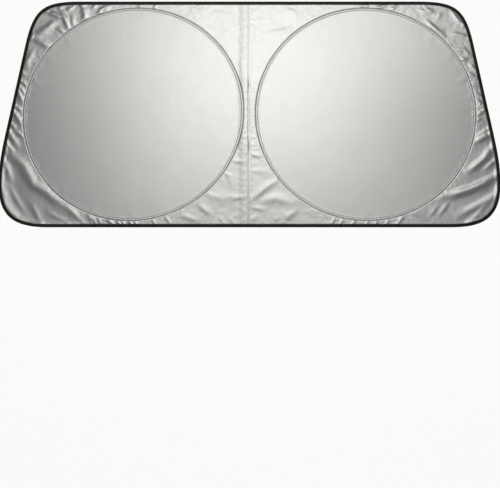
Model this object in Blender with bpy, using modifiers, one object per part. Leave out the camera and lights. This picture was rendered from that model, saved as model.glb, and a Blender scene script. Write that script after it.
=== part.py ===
"""Windshield sun shade: two cloth faces, two spring hoops in sewn casings and an edge binding.

The shade lies flat with its silver face up. X runs along it, Y points to its narrow top edge and Z
comes out of the silver face. The origin is the middle of the shade, on the surface it lies on.
All sizes are in metres.

Each half is laid out in its own plane, where u runs outward from the centre line and v is Y, so the
left half is the right half's layout turned over. The seam alone is not the same on both sides.
"""

import math

import bmesh
import bpy
from mathutils import Matrix, Vector
from mathutils.geometry import interpolate_bezier

# Outline, to the outer edge of the binding. The half widths are those of the sharp corners
SHADE_HEIGHT = 0.677
TOP_HALF_WIDTH = 0.643
BOTTOM_HALF_WIDTH = 0.795
TOP_CORNER_RUN = 0.135
BOTTOM_CORNER_RUN = 0.189
BOTTOM_CORNER_RISE = 0.280
TOP_CORNER_FULLNESS = 0.828
BOTTOM_CORNER_SIDE_FULLNESS = 0.804
BOTTOM_CORNER_EDGE_FULLNESS = 0.695

# Cloth of both faces, and the room that neighbouring layers keep
CLOTH_THICKNESS = 0.0004
LAYER_GAP = 0.0003

# Binding tape, folded over the cloth edges
BINDING_WIDTH = 0.010
TAPE_THICKNESS = 0.0008
TAPE_FOLD_DEPTH = 0.0008

# Hoop wire and the sleeve that joins its ends
WIRE_RADIUS = 0.0010
WIRE_END_GAP = 0.0003
SLEEVE_CLEARANCE = 0.0002
SLEEVE_WALL = 0.00025
SLEEVE_LENGTH = 0.024
SLEEVE_BEARING = math.radians(-90)
HOOP_SKEW = {"left": math.radians(-2.2), "right": math.radians(-0.7)}

# Casing: sleeve to stitch row, and half of its flat crest
STITCH_MARGIN = 0.0017
CREST_HALF_WIDTH = 0.0010

# Centre seam: the left panels lap over the right ones
SEAM_EDGE_OFFSET = 0.0036
LAP_WIDTH = 0.0105
LAP_RAMP = 0.003

# Plain cloth beside each casing: to the binding above and below, to the binding at the side, to the seam
EDGE_BAND = 0.00935
SIDE_BAND = 0.02935
SEAM_BAND = 0.00125

# Folds in the loose cloth outside the hoops
FOLD_HALF_WIDTH = 0.019
FOLD_HEIGHT = 0.0072
CLOTH_SLACK = 0.0010
BACK_FOLD_SHARE = 0.5
LIFT_PER_ROOM = 0.15
LIFT_ROUNDNESS = 0.5

# Each fold starts and ends at an angle round the hoop, in degrees from the outer side, and at a
# share of the way from the casing to the binding. The last value is its height against the tallest
FOLDS = {
    "left": [
        (-16, 0.20, -42, 0.15, 0.75),
        (-42, 0.15, -64, 0.30, 0.65),
        (-24, 0.75, -40, 0.55, 0.80),
        (-40, 0.55, -54, 0.80, 1.00),
        (-34, 0.90, -42, 0.85, 0.55),
        (28, 0.10, 25, 0.90, 0.40),
        (38, 0.10, 36, 0.90, 0.70),
        (47, 0.15, 50, 0.80, 0.75),
        (56, 0.10, 57, 0.90, 0.65),
        (66, 0.20, 65, 0.80, 0.40),
        (141, 0.30, 137, 0.90, 0.30),
        (214, 0.10, 222, 0.85, 0.45),
        (228, 0.20, 229, 0.85, 0.40),
        (8, 0.20, 2, 0.80, 0.25),
        (-6, 0.20, -12, 0.80, 0.30),
    ],
    "right": [
        (-54, 0.15, -29, 0.85, 1.00),
        (-46, 0.15, -22, 0.85, 0.85),
        (-37, 0.15, -15, 0.80, 0.60),
        (-60, 0.35, -44, 0.75, 0.65),
        (-40, 0.90, -34, 0.85, 0.50),
        (60, 0.20, 55, 0.85, 0.60),
        (49, 0.20, 53, 0.80, 0.65),
        (42, 0.15, 38, 0.90, 0.55),
        (30, 0.15, 26, 0.85, 0.35),
        (144, 0.30, 140, 0.90, 0.25),
        (216, 0.10, 215, 0.95, 0.60),
        (229, 0.15, 224, 0.90, 0.55),
        (207, 0.15, 205, 0.90, 0.30),
        (10, 0.20, 4, 0.80, 0.25),
        (-4, 0.20, -9, 0.80, 0.30),
    ],
}

# How finely the shapes are divided
OUTLINE_STEPS = 46
SEAM_STEPS = 12
LOOSE_RINGS = 5
PATH_SAMPLES = 48
SLEEVE_SIDES = 12
WIRE_BEVEL_RESOLUTION = 2

# Sizes that follow from those above
HALF_HEIGHT = SHADE_HEIGHT / 2
LAYER_PITCH = CLOTH_THICKNESS + LAYER_GAP
SLEEVE_RADIUS = WIRE_RADIUS + SLEEVE_CLEARANCE + SLEEVE_WALL
CASING_HALF_WIDTH = SLEEVE_RADIUS + STITCH_MARGIN
CASING_REACH = SLEEVE_RADIUS + LAYER_GAP + CLOTH_THICKNESS / 2
MID_HEIGHT = CASING_REACH + CLOTH_THICKNESS / 2
CLOTH_INSET = TAPE_THICKNESS + TAPE_FOLD_DEPTH / 2 + 2 * LAYER_GAP
TAPE_REACH = LAYER_PITCH / 2 + CLOTH_THICKNESS / 2 + LAYER_GAP + TAPE_THICKNESS / 2
STACK_LIFT = 2 * LAYER_PITCH
SIDE_HALF_WIDTH = (TOP_HALF_WIDTH + BOTTOM_HALF_WIDTH) / 2
HOOP_SEAM_MARGIN = SEAM_EDGE_OFFSET + LAP_WIDTH + LAP_RAMP + SEAM_BAND + CASING_HALF_WIDTH
HOOP_OUTER_REACH = SIDE_HALF_WIDTH - BINDING_WIDTH - SIDE_BAND - CASING_HALF_WIDTH
HOOP_HALF_WIDTH = (HOOP_OUTER_REACH - HOOP_SEAM_MARGIN) / 2
HOOP_HALF_HEIGHT = HALF_HEIGHT - BINDING_WIDTH - EDGE_BAND - CASING_HALF_WIDTH
HOOP_CENTRE = Vector((HOOP_SEAM_MARGIN + HOOP_HALF_WIDTH, 0, 0))

# The order of the four cloth layers in the seam's lap, from the lowest
LAP_ORDER = {("back", "left"): 0, ("back", "right"): 1, ("front", "right"): 2, ("front", "left"): 3}
FACE_ORDER = {"back": 0, "front": 1}
SIDE_SIGN = {"left": -1, "right": 1}


def make_material(name, color, roughness, metallic):
    material = bpy.data.materials.new(name)
    material.use_nodes = True
    shader = material.node_tree.nodes["Principled BSDF"]
    shader.inputs["Base Color"].default_value = (*color, 1)
    shader.inputs["Roughness"].default_value = roughness
    shader.inputs["Metallic"].default_value = metallic
    return material


def add_object(collection, name, data, material):
    thing = bpy.data.objects.new(name, data)
    data.materials.append(material)
    collection.objects.link(thing)
    return thing


def add_thickness(thing, thickness, offset):
    solidify = thing.modifiers.new("thickness", "SOLIDIFY")
    solidify.thickness = thickness
    solidify.offset = offset
    solidify.use_even_offset = True


def half_outline():
    """Closely spaced points along the outer edge of one half, from mid top round to mid bottom."""
    top_corner = Vector((TOP_HALF_WIDTH, HALF_HEIGHT, 0))
    bottom_corner = Vector((BOTTOM_HALF_WIDTH, -HALF_HEIGHT, 0))
    outward = Vector((1, 0, 0))
    down_side = (bottom_corner - top_corner).normalized()
    top_end = top_corner - outward * TOP_CORNER_RUN
    side_start = top_corner + down_side * TOP_CORNER_RUN
    side_end = bottom_corner - down_side * BOTTOM_CORNER_RISE
    bottom_start = bottom_corner - outward * BOTTOM_CORNER_RUN

    def straight(start, end):
        return [start.lerp(end, step / PATH_SAMPLES) for step in range(PATH_SAMPLES)]

    def rounded(start, corner, end, start_fullness, end_fullness):
        handles = start.lerp(corner, start_fullness), end.lerp(corner, end_fullness)
        return interpolate_bezier(start, *handles, end, PATH_SAMPLES + 1)[:-1]

    path = straight(Vector((0, HALF_HEIGHT, 0)), top_end)
    path += rounded(top_end, top_corner, side_start, TOP_CORNER_FULLNESS, TOP_CORNER_FULLNESS)
    path += straight(side_start, side_end)
    path += rounded(side_end, bottom_corner, bottom_start,
                    BOTTOM_CORNER_SIDE_FULLNESS, BOTTOM_CORNER_EDGE_FULLNESS)
    path += straight(bottom_start, Vector((0, -HALF_HEIGHT, 0)))
    path.append(Vector((0, -HALF_HEIGHT, 0)))
    return path


def outline_stations():
    """Points on the outer edge with their inward directions, closer together where the edge turns."""
    path = half_outline()
    directions = [(b - a).normalized() for a, b in zip(path, path[1:])]
    spread = [0.0]
    for index, (a, b) in enumerate(zip(path, path[1:])):
        seen = (a - HOOP_CENTRE).angle(b - HOOP_CENTRE)
        turned = directions[index - 1].angle(directions[index]) if index else 0.0
        spread.append(spread[-1] + seen + turned)
    stations = []
    index = 0
    for step in range(1, OUTLINE_STEPS):
        wanted = spread[-1] * step / OUTLINE_STEPS
        while spread[index + 1] < wanted:
            index += 1
        share = (wanted - spread[index]) / (spread[index + 1] - spread[index])
        direction = directions[index]
        inward = Vector((direction.y, -direction.x, 0))
        stations.append((path[index].lerp(path[index + 1], share), inward))
    return stations


def panel_edge(side):
    """Where a panel ends at the seam, measured outward from the centre line."""
    return SEAM_EDGE_OFFSET if side == "left" else -(SEAM_EDGE_OFFSET + LAP_WIDTH)


def panel_rim(side, outline):
    """Stations round a panel without its lap, clockwise from the seam's top end.

    Each is a point on the rim, a step inward past the binding and a step inward to where folds start.
    """
    seam_line = panel_edge(side) + LAP_WIDTH + LAP_RAMP
    cover = BINDING_WIDTH - CLOTH_INSET + LAYER_GAP
    clear = cover + LAP_RAMP
    seam_cover = SEAM_BAND / 4
    seam_clear = SEAM_BAND / 2

    def corner(top):
        rim_point = Vector((seam_line, top * (HALF_HEIGHT - CLOTH_INSET), 0))
        return rim_point, Vector((seam_cover, -top * cover, 0)), Vector((seam_clear, -top * clear, 0))

    rim = [corner(1)]
    for point, inward in outline:
        rim.append((point + inward * CLOTH_INSET, inward * cover, inward * clear))
    rim.append(corner(-1))
    first = (rim[-1][0] - HOOP_CENTRE).xy
    turn = first.angle_signed((rim[0][0] - HOOP_CENTRE).xy)
    for step in range(1, SEAM_STEPS):
        ray = first.copy()
        ray.rotate(Matrix.Rotation(-turn * step / SEAM_STEPS, 2))
        ray *= (seam_line - HOOP_CENTRE.x) / ray.x
        point = HOOP_CENTRE + ray.to_3d()
        rim.append((point, Vector((seam_cover, 0, 0)), Vector((seam_clear, 0, 0))))
    return rim


def hoop_point(side, target, offset):
    """The point on the hoop's line, or beside it by the offset, that faces the target."""
    skew = HOOP_SKEW[side]
    across = (target.x - HOOP_CENTRE.x) / HOOP_HALF_WIDTH
    up = (target.y - HOOP_CENTRE.y) / HOOP_HALF_HEIGHT
    bearing = math.atan2((up - across * math.sin(skew)) / math.cos(skew), across)
    on_hoop = Vector((HOOP_HALF_WIDTH * math.cos(bearing), HOOP_HALF_HEIGHT * math.sin(bearing + skew), 0))
    outward = Vector((HOOP_HALF_HEIGHT * math.cos(bearing + skew), HOOP_HALF_WIDTH * math.sin(bearing), 0))
    return HOOP_CENTRE + on_hoop + outward.normalized() * offset


def fold_lines(side, rim):
    """Each fold's two ends and its height, from the angles and shares that the fold is written in."""
    lines = []
    for start_angle, start_share, end_angle, end_share, height in FOLDS[side]:
        ends = [zone_point(side, rim, angle, share)
                for angle, share in ((start_angle, start_share), (end_angle, end_share))]
        lines.append((*ends, height * FOLD_HEIGHT))
    return lines


def zone_point(side, rim, angle, share):
    """The point at an angle round the hoop and a share of the way out through the loose cloth."""
    wanted = Vector((math.cos(math.radians(angle)), math.sin(math.radians(angle)), 0))
    facing = max(rim, key=lambda station: wanted.dot((station[0] - HOOP_CENTRE).normalized()))
    start, end = zone_ends(side, facing)
    return start.lerp(end, share)


def zone_ends(side, station):
    """Where the loose cloth starts at the casing and where it ends beside the binding or the seam."""
    point, _, clear = station
    return hoop_point(side, point, CASING_HALF_WIDTH), point + clear


def cloth_lift(point, share, room, lines):
    """How far the loose cloth stands up at a point, which is nothing at the casing and the rim."""
    lift = CLOTH_SLACK
    for start, end, height in lines:
        along = end - start
        place = min(max((point - start).dot(along) / along.length_squared, 0), 1)
        distance = (point - start.lerp(end, place)).length
        lift += height * math.exp(-((distance / FOLD_HALF_WIDTH) ** 2))
    return min(lift, room * LIFT_PER_ROOM) * math.sin(math.pi * share) ** LIFT_ROUNDNESS


def panel_rings(side, face, rim):
    """Loops of points from the taut disc in the hoop out to the rim, one point for each station."""
    up = 1 if face == "front" else -1
    base = MID_HEIGHT + up * LAYER_PITCH / 2
    crest = MID_HEIGHT + up * CASING_REACH
    fold_share = 1 if face == "front" else BACK_FOLD_SHARE
    lines = fold_lines(side, rim)
    casing = [(-CASING_HALF_WIDTH, base), (-CREST_HALF_WIDTH, crest), (CREST_HALF_WIDTH, crest)]

    def at_height(point, height):
        return Vector((point.x, point.y, height))

    rings = [[at_height(hoop_point(side, station[0], offset), height) for station in rim]
             for offset, height in casing]
    for step in range(LOOSE_RINGS + 2):
        share = step / (LOOSE_RINGS + 1)
        ring = []
        for station in rim:
            start, end = zone_ends(side, station)
            point = start.lerp(end, share)
            lift = cloth_lift(point, share, (end - start).length, lines)
            ring.append(at_height(point, base + fold_share * lift))
        rings.append(ring)
    rings.append([at_height(point + cover, base) for point, cover, _ in rim])
    rings.append([at_height(point, base) for point, _, _ in rim])
    return rings


def make_panel(collection, side, face, rim, material):
    """One half of a face: a flat disc, the casing over the wire, folded loose cloth and the seam's lap."""
    sign = SIDE_SIGN[side]
    mesh = bmesh.new()
    loops = [[mesh.verts.new((sign * point.x, point.y, point.z)) for point in ring]
             for ring in panel_rings(side, face, rim)]
    mesh.faces.new(loops[0])
    for inner, outer in zip(loops, loops[1:]):
        for index in range(len(inner)):
            after = (index + 1) % len(inner)
            mesh.faces.new((inner[index], outer[index], outer[after], inner[after]))

    lap_lift = (LAP_ORDER[face, side] - FACE_ORDER[face]) * LAYER_PITCH
    seam = loops[-1][OUTLINE_STEPS:] + loops[-1][:1]
    for run, lift in ((LAP_RAMP, lap_lift), (LAP_WIDTH, 0)):
        edges = [mesh.edges.get(pair) for pair in zip(seam, seam[1:])]
        grown = bmesh.ops.extrude_edge_only(mesh, edges=edges)["geom"]
        seam_verts = [part for part in grown if isinstance(part, bmesh.types.BMVert)]
        bmesh.ops.translate(mesh, verts=seam_verts, vec=(-sign * run, 0, lift))
        seam = sorted(seam_verts, key=lambda vert: vert.co.y)

    bmesh.ops.triangulate(mesh, faces=mesh.faces, quad_method="FIXED")
    bmesh.ops.recalc_face_normals(mesh, faces=mesh.faces)
    name = f"{face}_panel_{side}"
    data = bpy.data.meshes.new(name)
    mesh.to_mesh(data)
    mesh.free()
    panel = add_object(collection, name, data, material)
    add_thickness(panel, CLOTH_THICKNESS, 0)


def sleeve_chord(side, rim):
    """The index of the straight run of wire that the sleeve sits on."""
    wanted = Vector((math.cos(SLEEVE_BEARING), math.sin(SLEEVE_BEARING), 0))
    return max(range(len(rim)), key=lambda index: wanted.dot((rim[index][0] - HOOP_CENTRE).normalized()))


def make_hoop(collection, side, rim, material):
    """A ring of spring wire whose two ends meet inside the sleeve."""
    sign = SIDE_SIGN[side]
    ring = []
    for point, _, _ in rim:
        on_hoop = hoop_point(side, point, 0)
        ring.append(Vector((sign * on_hoop.x, on_hoop.y, MID_HEIGHT)))
    first = sleeve_chord(side, rim)
    start, end = ring[first], ring[(first + 1) % len(ring)]
    middle = start.lerp(end, 0.5)
    along = (end - start).normalized()
    around = ring[first + 1:] + ring[:first + 1]
    points = [middle + along * WIRE_END_GAP / 2, *around, middle - along * WIRE_END_GAP / 2]

    curve = bpy.data.curves.new(f"hoop_{side}", "CURVE")
    curve.dimensions = "3D"
    curve.bevel_depth = WIRE_RADIUS
    curve.bevel_resolution = WIRE_BEVEL_RESOLUTION
    curve.use_fill_caps = True
    spline = curve.splines.new("POLY")
    spline.points.add(len(points) - 1)
    for spline_point, point in zip(spline.points, points):
        spline_point.co = (*point, 1)
    add_object(collection, f"hoop_{side}", curve, material)
    return middle, along


def make_sleeve(collection, side, middle, along, material):
    """A short steel tube over the two ends of the wire."""
    mesh = bmesh.new()
    bmesh.ops.create_cone(mesh, cap_ends=False, segments=SLEEVE_SIDES, radius1=SLEEVE_RADIUS,
                          radius2=SLEEVE_RADIUS, depth=SLEEVE_LENGTH)
    bmesh.ops.recalc_face_normals(mesh, faces=mesh.faces)
    name = f"hoop_sleeve_{side}"
    data = bpy.data.meshes.new(name)
    mesh.to_mesh(data)
    mesh.free()
    data.shade_smooth()
    sleeve = add_object(collection, name, data, material)
    sleeve.location = middle
    sleeve.rotation_euler = along.to_track_quat("Z", "Y").to_euler()
    add_thickness(sleeve, SLEEVE_WALL, -1)


def binding_stations(outline):
    """Stations round the whole outer edge, each with the rise of the top leg over the seam's lap."""
    seam_low = -(SEAM_EDGE_OFFSET + LAP_WIDTH + LAP_RAMP)
    seam_high = -SEAM_EDGE_OFFSET + LAP_RAMP
    bump = [(seam_low - LAP_RAMP, 0), (seam_low, STACK_LIFT), (seam_high, STACK_LIFT), (seam_high + LAP_RAMP, 0)]
    across_top = [(Vector((x, HALF_HEIGHT, 0)), Vector((0, -1, 0)), rise) for x, rise in bump]
    across_bottom = [(Vector((x, -HALF_HEIGHT, 0)), Vector((0, 1, 0)), rise) for x, rise in reversed(bump)]
    right = [(point, inward, 0) for point, inward in outline]
    left = [(Vector((-point.x, point.y, 0)), Vector((-inward.x, inward.y, 0)), 0)
            for point, inward in reversed(outline)]
    return across_top + right + across_bottom + left


def make_binding(collection, outline, material):
    """A tape folded over the edges of all the cloth, as one loop round the shade."""
    shoulder = TAPE_THICKNESS / 2 + TAPE_FOLD_DEPTH
    section = [(BINDING_WIDTH, 1), (shoulder, 1), (TAPE_THICKNESS / 2, 0), (shoulder, -1), (BINDING_WIDTH, -1)]
    mesh = bmesh.new()
    loops = []
    for inset, level in section:
        loop = []
        for point, inward, rise in binding_stations(outline):
            place = point + inward * inset
            height = MID_HEIGHT + level * TAPE_REACH + (rise if level > 0 else 0)
            loop.append(mesh.verts.new((place.x, place.y, height)))
        loops.append(loop)
    for upper, lower in zip(loops, loops[1:]):
        for index in range(len(upper)):
            after = (index + 1) % len(upper)
            mesh.faces.new((upper[index], upper[after], lower[after], lower[index]))
    bmesh.ops.recalc_face_normals(mesh, faces=mesh.faces)
    data = bpy.data.meshes.new("edge_binding")
    mesh.to_mesh(data)
    mesh.free()
    binding = add_object(collection, "edge_binding", data, material)
    add_thickness(binding, TAPE_THICKNESS, 0)


def make_shade():
    for thing in list(bpy.data.objects):
        bpy.data.objects.remove(thing)
    collection = bpy.data.collections.new("windshield_sun_shade")
    bpy.context.scene.collection.children.link(collection)
    cloth = {
        "front": make_material("silver_coated_cloth", (0.60, 0.61, 0.58), 0.38, 0.85),
        "back": make_material("charcoal_cloth", (0.045, 0.049, 0.043), 0.80, 0.0),
    }
    tape = make_material("black_binding_tape", (0.012, 0.012, 0.011), 0.75, 0.0)
    steel = make_material("spring_steel", (0.55, 0.56, 0.57), 0.35, 1.0)

    outline = outline_stations()
    for side in ("left", "right"):
        rim = panel_rim(side, outline)
        for face in ("front", "back"):
            make_panel(collection, side, face, rim, cloth[face])
        middle, along = make_hoop(collection, side, rim, steel)
        make_sleeve(collection, side, middle, along, steel)
    make_binding(collection, outline, tape)


make_shade()
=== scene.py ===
"""Windshield sun shade: simulated cloth faces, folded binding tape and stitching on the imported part.

The shade lies flat on the floor with its silver face up. All sizes are in metres. Each half is laid
out in its own plane, where u runs outward from the centre line and v is Y, as the part's is, so the
left half is the right half's layout turned over.
"""

import math

import bmesh
import bpy
import numpy as np
from mathutils import Matrix, Vector, noise
from mathutils.bvhtree import BVHTree
from mathutils.geometry import delaunay_2d_cdt, interpolate_bezier
from mathutils.kdtree import KDTree


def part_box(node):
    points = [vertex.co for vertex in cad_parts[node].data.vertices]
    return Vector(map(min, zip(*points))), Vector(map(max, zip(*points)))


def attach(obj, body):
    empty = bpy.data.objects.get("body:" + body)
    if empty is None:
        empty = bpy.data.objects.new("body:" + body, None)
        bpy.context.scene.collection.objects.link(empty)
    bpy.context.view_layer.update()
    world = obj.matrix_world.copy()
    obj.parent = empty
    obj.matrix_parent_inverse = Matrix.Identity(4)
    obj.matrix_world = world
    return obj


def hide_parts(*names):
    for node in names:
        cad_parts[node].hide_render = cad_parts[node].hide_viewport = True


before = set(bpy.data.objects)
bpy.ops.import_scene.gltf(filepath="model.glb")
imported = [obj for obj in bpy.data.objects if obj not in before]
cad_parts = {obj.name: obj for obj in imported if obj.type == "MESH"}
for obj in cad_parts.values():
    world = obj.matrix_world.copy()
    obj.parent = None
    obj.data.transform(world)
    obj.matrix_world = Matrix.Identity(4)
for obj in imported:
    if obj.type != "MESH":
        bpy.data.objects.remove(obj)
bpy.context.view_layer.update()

# The part's outline and layers, which the looks follow
TOP_HALF_WIDTH = 0.643
BOTTOM_HALF_WIDTH = 0.795
TOP_CORNER_RUN = 0.135
BOTTOM_CORNER_RUN = 0.189
BOTTOM_CORNER_RISE = 0.280
TOP_CORNER_FULLNESS = 0.828
BOTTOM_CORNER_SIDE_FULLNESS = 0.804
BOTTOM_CORNER_EDGE_FULLNESS = 0.695
CLOTH_THICKNESS = 0.0004
LAYER_GAP = 0.0003
LAYER_PITCH = CLOTH_THICKNESS + LAYER_GAP
BINDING_WIDTH = 0.010
CLOTH_INSET = 0.0018
WIRE_RADIUS = 0.0010
HOOP_SKEW = {"left": math.radians(-2.2), "right": math.radians(-0.7)}
SEAM_EDGE_OFFSET = 0.0036
LAP_WIDTH = 0.0105
LAP_RAMP = 0.003
SEAM_STITCH_INSET = 0.0010
SEAM_STITCH_ROOM = 0.0004
CASING_HALF_WIDTH = 0.00315
CASING_LIFT = 0.0016
LAP_ORDER = {("back", "left"): 0, ("back", "right"): 1, ("front", "right"): 2, ("front", "left"): 3}
FACE_ORDER = {"back": 0, "front": 1}
SIDE_SIGN = {"left": -1, "right": 1}

# Places read from the frame
HOOP_LOW, HOOP_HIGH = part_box("hoop_right")
HALF_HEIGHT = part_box("edge_binding")[1].y
HOOP_CENTRE = Vector(((HOOP_LOW.x + HOOP_HIGH.x) / 2, 0))
HOOP_HALF_WIDTH = (HOOP_HIGH.x - HOOP_LOW.x) / 2 - WIRE_RADIUS
HOOP_HALF_HEIGHT = (HOOP_HIGH.y - HOOP_LOW.y) / 2 - WIRE_RADIUS
MID_HEIGHT = (HOOP_LOW.z + HOOP_HIGH.z) / 2

# The photograph's frame, in pixels from its top left corner, with the part's origin at this place
PHOTO_SIZE = (500, 488)
PIXEL = 0.003
ORIGIN_PIXEL = (249.5, 114.5)

# Crests of the loose cloth's folds: half width and height, then their places in the photograph's pixels
CRESTS = (
    # Lower left corner: a long ridge beside the hoop, the raised rim, and softer ridges between them
    (0.0140, 0.0031, (6, 148), (15, 157), (23, 165), (28, 174), (34, 184), (46, 191.5), (59, 202),
     (74, 213)),
    (0.0088, 0.0020, (3, 158), (7, 168), (12, 182)),
    (0.0240, 0.0060, (-3, 172), (-2, 192), (3, 208), (14, 222), (34, 230)),
    (0.0160, 0.0030, (34, 228), (75, 229)),
    (0.0085, 0.0013, (9, 184), (16, 198), (26, 214)),
    (0.0075, 0.0012, (31, 203), (36, 212), (41, 222)),
    (0.0070, 0.0009, (48, 212), (58, 218), (68, 221)),
    (0.0070, 0.0013, (66, 206), (74, 213), (83, 222)),
    (0.0053, 0.0012, (89, 215), (92, 221)),
    # Left side, from the top down
    (0.0088, 0.0017, (33, 52), (27, 62), (28, 67)),
    (0.0053, 0.0011, (22, 72), (25.5, 75)),
    (0.0048, 0.0012, (21, 80.5), (28, 87)),
    (0.0050, 0.0015, (20, 86.5), (25, 94)),
    (0.0062, 0.0019, (17.5, 89), (23.5, 103)),
    (0.0052, 0.0014, (15.5, 106), (22, 111)),
    (0.0065, 0.0019, (13.3, 110.5), (22.5, 125)),
    (0.0054, 0.0014, (11.5, 124), (16, 129)),
    (0.0054, 0.0019, (16, 131.5), (24, 137)),
    (0.0070, 0.0020, (8.5, 131), (18.5, 147)),
    (0.0056, 0.0014, (6, 141), (13, 152)),
    # Upper left corner: sharper creases that meet, and one wide fold
    (0.0063, 0.0026, (47, 11.5), (56, 15), (64.5, 19.5)),
    (0.0065, 0.0027, (60.5, 9), (66, 20), (69, 30)),
    (0.0100, 0.0026, (57, 21), (45, 30.5), (35, 36.5)),
    (0.0090, 0.0023, (33, 38), (41, 41.5), (51, 48)),
    (0.0052, 0.0018, (57.5, 27), (63.5, 32)),
    (0.0060, 0.0016, (72.5, 16), (73.5, 26)),
    (0.0070, 0.0026, (82.5, 6), (85.5, 15), (83, 21)),
    (0.0045, 0.0018, (97.5, 15.5), (101, 10), (107, 6.5)),
    (0.0040, 0.0013, (92.5, 8.5), (95.5, 6)),
    (0.0045, 0.0015, (67, 10.5), (73, 7.5)),
    (0.0040, 0.0013, (104, 11), (110, 7)),
    (0.0040, 0.0010, (137, 9), (140, 6.5)),
    (0.0040, 0.0012, (154, 10), (155.5, 6)),
    # Upper right corner
    (0.0055, 0.0019, (426, 21), (434, 28), (444, 36)),
    (0.0049, 0.0013, (437, 18.5), (441, 13)),
    (0.0053, 0.0020, (452, 13), (458, 20), (463, 25.5)),
    (0.0062, 0.0017, (450, 33.5), (460, 35.5), (468, 38.5)),
    (0.0049, 0.0014, (454, 49.5), (464, 50), (470, 56)),
    (0.0054, 0.0016, (460, 59.5), (467, 59)),
    (0.0048, 0.0015, (470, 64.5), (475.5, 71)),
    (0.0049, 0.0014, (419, 10), (429, 13.5)),
    (0.0046, 0.0016, (425, 8.5), (434, 13)),
    (0.0042, 0.0014, (359, 9), (362, 6)),
    (0.0042, 0.0016, (376, 8.5), (385, 6)),
    (0.0040, 0.0014, (391, 9.5), (396, 7)),
    (0.0036, 0.0010, (364, 9), (367, 6)),
    # Right side, from the top down
    (0.0046, 0.0016, (466, 73), (476, 77.5)),
    (0.0042, 0.0014, (471, 85), (479, 85)),
    (0.0042, 0.0016, (474, 92.5), (482, 98)),
    (0.0044, 0.0018, (475, 99), (483, 105.5)),
    (0.0044, 0.0016, (477, 104), (484, 109)),
    (0.0046, 0.0018, (476.5, 115.5), (482.5, 111)),
    (0.0046, 0.0012, (476, 121), (480, 119)),
    (0.0053, 0.0016, (475, 136.5), (483, 132), (489, 128)),
    (0.0088, 0.0033, (474, 142), (483, 137.5), (490, 133.5)),
    # Lower right corner: a fan of long ridges from the hoop to the side, and the raised rim
    (0.0092, 0.0037, (492, 147), (484, 158.5), (475, 166), (467, 172)),
    (0.0055, 0.0017, (494.5, 160.5), (484, 170)),
    (0.0110, 0.0048, (496.5, 174.5), (483, 183.5), (469, 189.5), (453, 194.5), (443, 196)),
    (0.0150, 0.0026, (499, 188), (496, 203), (487, 215), (472, 223)),
    (0.0110, 0.0029, (499, 193), (485, 201), (471, 209), (458, 216)),
    (0.0085, 0.0018, (491, 200), (480, 211.5), (468, 223)),
    (0.0050, 0.0012, (439, 215), (448, 203)),
    (0.0050, 0.0010, (430, 216), (437, 206)),
    (0.0055, 0.0011, (411, 211), (424, 218)),
    (0.0050, 0.0012, (397, 224), (404, 215)),
    # Lower triangle by the seam
    (0.0094, 0.0018, (250.5, 201), (259, 193), (268, 185.5), (276, 180.5)),
    (0.0121, 0.0013, (262, 201.5), (276, 198), (291, 203)),
    (0.0073, 0.0008, (252, 207), (263, 209.5)),
    (0.0099, 0.0013, (284, 220), (296, 210)),
    (0.0057, 0.0006, (250.5, 221), (257.5, 215)),
    (0.0050, 0.0006, (274, 221), (279, 217)),
    (0.0051, 0.0011, (250.5, 154), (260.5, 156.5)),
    (0.0066, 0.0004, (252, 170), (268, 172)),
    (0.0068, 0.0008, (233, 161.5), (245, 161)),
    (0.0053, 0.0008, (225.5, 173.5), (232, 177)),
    (0.0077, 0.0006, (229, 176), (231, 184)),
    (0.0075, 0.0009, (232, 198.5), (244, 196.5)),
    (0.0088, 0.0006, (205, 193), (222, 199)),
    (0.0077, 0.0011, (199, 205), (211, 214.5)),
    (0.0070, 0.0009, (181, 215), (198, 220.5)),
    (0.0046, 0.0006, (219, 217), (224, 223)),
    (0.0046, 0.0006, (229, 218), (234, 223)),
    # Upper triangle by the seam, nearly smooth
    (0.0070, 0.0005, (252.5, 26), (252.5, 46)),
    (0.0060, 0.0004, (241, 57), (242, 74)),
    (0.0080, 0.0007, (272, 34), (290, 29.5)),
    (0.0060, 0.0006, (285, 9.5), (296, 12.5)),
    (0.0060, 0.0006, (198, 8), (204, 15)),
    (0.0045, 0.0005, (219, 47), (226, 48.5)),
    # Below the hoops
    (0.0040, 0.0010, (93, 217), (95.5, 222.5)),
    (0.0040, 0.0010, (98, 217.5), (100.5, 222.5)),
    (0.0044, 0.0015, (107, 219), (113, 223.5)),
    (0.0034, 0.0014, (116.5, 220), (120, 224)),
    (0.0034, 0.0012, (121, 220), (124, 224)),
    (0.0034, 0.0014, (128, 220.5), (132, 224)),
    (0.0034, 0.0012, (134, 221), (137, 224)),
    (0.0036, 0.0009, (152, 219), (155, 223.5)),
    (0.0040, 0.0009, (166, 217), (170, 223)),
    (0.0040, 0.0010, (335, 218), (332, 223)),
    (0.0040, 0.0010, (343, 219), (340, 224)),
    (0.0036, 0.0012, (356, 219.5), (352, 224)),
    (0.0036, 0.0009, (369, 220), (366, 224)),
    (0.0036, 0.0010, (378, 219.5), (375, 224)),
    (0.0036, 0.0010, (389, 219), (386, 224)),
)

# The cloth between the crests, how each crest ends, and how high the cloth may stand near its sewn edges
CREST_LOOSE_LIFT = 0.0004
CREST_UNEVEN_LEAST = 0.0001
CREST_UNEVEN_MOST = 0.00025
CREST_END_SHARE = 0.35
CREST_TAPER = 0.35
CREST_RIM_REACH = 0.015
CREST_SLOPE = 0.55
CREST_LIMIT_LEAST = 1e-6
EDGE_LIFT_MOST = 0.0055
EDGE_LIFT_SLOPE = 0.7
BACK_FOLD_SHARE = 0.5
BACK_EDGE_RUN = 0.02
BACK_SEAM_RUN = 0.006

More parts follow.
